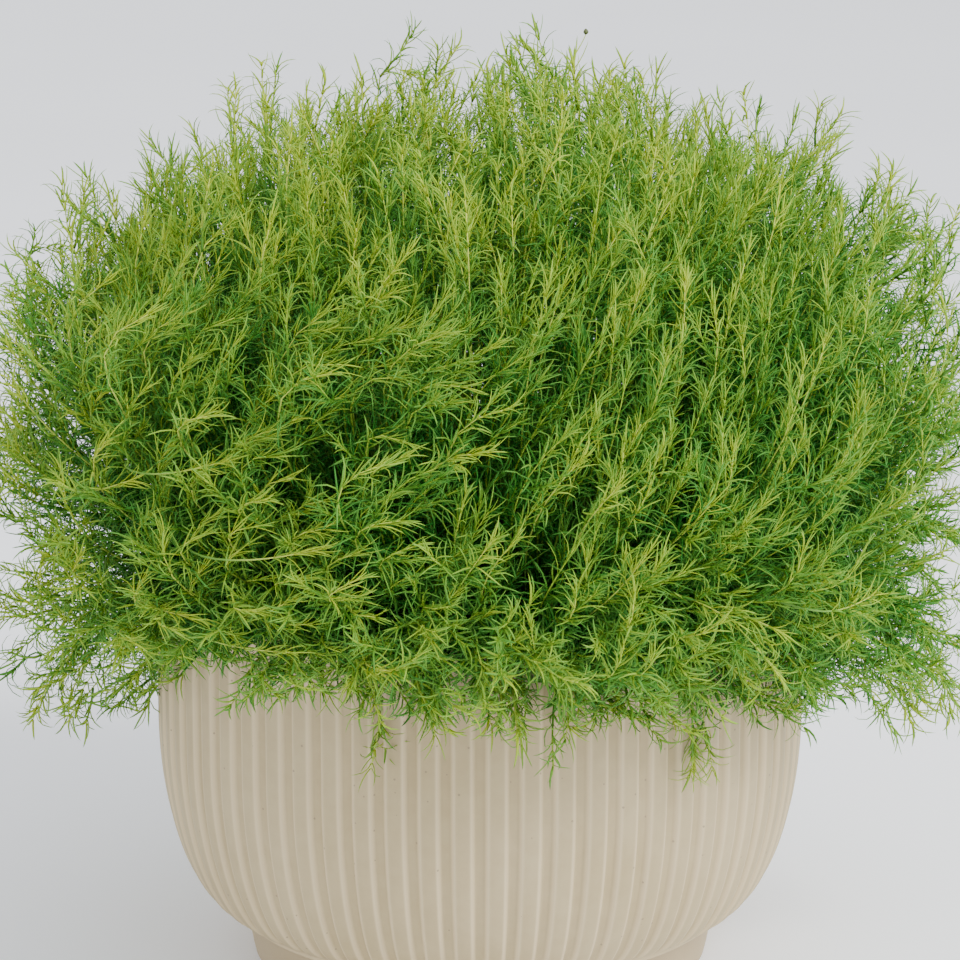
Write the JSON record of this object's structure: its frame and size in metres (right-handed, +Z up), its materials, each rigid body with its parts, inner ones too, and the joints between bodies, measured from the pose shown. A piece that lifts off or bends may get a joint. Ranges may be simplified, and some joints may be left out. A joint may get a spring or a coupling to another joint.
{
  "type": "potted scotch moss",
  "caption": "Dense dome of fine scotch moss spilling over the rim of a footed ceramic bowl planter with vertical ribs.",
  "frame": {"origin": "centre of the pot's foot, on the surface that it stands on", "axes": "+Z up along the pot's axis; the pictured front faces -Y and +X is to its right"},
  "size_m": [0.342, 0.342, 0.3188],
  "materials": {
    "pot_ceramic": "matt warm grey-beige glaze that thins on the edges of the ribs, with fine dark speckles",
    "soil": "crumbly dark potting mix of bark and peat",
    "leaf": "thin soft needle leaves, yellow-green at the tips and deep green inside",
    "stem": "slender pale yellow-green stems",
    "bud": "small dull olive-brown flower bud"
  },
  "bodies": {
    "root": {"pot": "pot_ceramic", "soil": "soil", "foliage_centre": "leaf", "foliage_inner_1": "leaf", "foliage_inner_2": "leaf", "foliage_inner_3": "leaf", "foliage_inner_4": "leaf", "foliage_inner_5": "leaf", "foliage_inner_6": "leaf", "foliage_middle_1": "leaf", "foliage_middle_2": "leaf", "foliage_middle_3": "leaf", "foliage_middle_4": "leaf", "foliage_middle_5": "leaf", "foliage_middle_6": "leaf", "foliage_middle_7": "leaf", "foliage_middle_8": "leaf", "foliage_middle_9": "leaf", "foliage_middle_10": "leaf", "foliage_trailing_1": "leaf", "foliage_trailing_2": "leaf", "foliage_trailing_3": "leaf", "foliage_trailing_4": "leaf", "foliage_trailing_5": "leaf", "foliage_trailing_6": "leaf", "foliage_trailing_7": "leaf", "foliage_trailing_8": "leaf", "foliage_trailing_9": "leaf", "foliage_trailing_10": "leaf", "foliage_trailing_11": "leaf", "foliage_trailing_12": "leaf", "sprig_left": "leaf", "sprig_right": "leaf", "sprig_top": "leaf", "trailing_sprig_left": "leaf", "trailing_sprig_right": "leaf", "trailing_sprig_front_right": "leaf", "trailing_sprig_front_left": "leaf", "flower_stalk": "stem", "flower_bud": "bud"}
  },
  "joints": []
}
